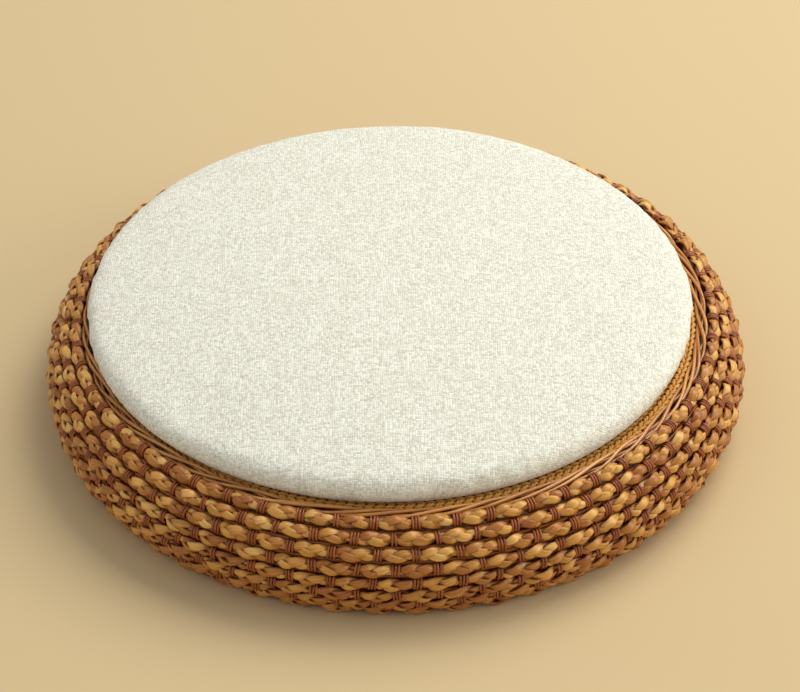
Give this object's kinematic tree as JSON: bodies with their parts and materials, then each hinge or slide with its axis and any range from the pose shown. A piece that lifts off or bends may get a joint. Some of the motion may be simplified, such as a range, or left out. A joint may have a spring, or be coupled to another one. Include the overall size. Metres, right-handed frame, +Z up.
{
  "type": "woven floor seat with loose pad",
  "caption": "Low round floor seat: plaited woven wall and deck over a cane frame, with a loose domed linen pad whose cover zips open underneath.",
  "frame": {"origin": "centre of the seat's footprint, on the floor", "axes": "+Z up, away from the floor; +Y towards the zip side of the pad, the back; the seat is round, and the pad lies a little off centre towards -X"},
  "size_m": [0.45, 0.45, 0.0904],
  "materials": {
    "plaited_hyacinth": "varnished plaited stems",
    "rattan_peel": "dark lacquered peel",
    "rattan_core": "satin varnished cane",
    "twisted_straw": "satin twisted straw cord",
    "rattan_pole": "natural cane, satin",
    "plywood": "bare sanded ply",
    "batten_wood": "bare planed softwood",
    "screw_steel": "zinc plated",
    "linen": "coarse natural linen weave",
    "underside_cotton": "plain cotton weave",
    "foam": "open cell foam",
    "wadding": "fibre wadding",
    "zip_tape": "woven tape",
    "zip_metal": "antique brass"
  },
  "bodies": {
    "base": {"plait_row_1": "plaited_hyacinth", "plait_row_2": "plaited_hyacinth", "plait_row_3": "plaited_hyacinth", "plait_row_4": "plaited_hyacinth", "plait_row_5": "plaited_hyacinth", "plait_row_6": "plaited_hyacinth", "plait_row_7": "plaited_hyacinth", "plait_row_8": "plaited_hyacinth", "lashing_1": "rattan_peel", "lashing_2": "rattan_peel", "lashing_3": "rattan_peel", "lashing_4": "rattan_peel", "lashing_5": "rattan_peel", "lashing_6": "rattan_peel", "lashing_7": "rattan_peel", "rib_1": "rattan_pole", "rib_2": "rattan_pole", "rib_3": "rattan_pole", "rib_4": "rattan_pole", "rib_5": "rattan_pole", "rib_6": "rattan_pole", "rib_7": "rattan_pole", "rib_8": "rattan_pole", "rim_hoop": "rattan_pole", "deck_hoop": "rattan_pole", "belly_hoop": "rattan_pole", "foot_hoop": "rattan_pole", "rim_rope": "rattan_core", "deck_mat": "twisted_straw", "deck_board": "plywood", "cross_bar_lower": "batten_wood", "cross_bar_upper": "batten_wood", "deck_screw_1": "screw_steel", "deck_screw_2": "screw_steel", "deck_screw_3": "screw_steel", "deck_screw_4": "screw_steel"},
    "seat_pad": {"cover_top": "linen", "cover_bottom": "underside_cotton", "foam_core": "foam", "wadding": "wadding", "zip_tape_front": "zip_tape", "zip_tape_back": "zip_tape"},
    "zip_slider": {"zip_slider": "zip_metal"}
  },
  "joints": [
    {"name": "pad_lift", "type": "slide", "parent": "base", "child": "seat_pad", "axis": [0, 0, 1], "range_m": [0, 0.15]},
    {"name": "zip_run", "type": "slide", "parent": "seat_pad", "child": "zip_slider", "axis": [1, 0, 0], "range_m": [0, 0.2]}
  ]
}
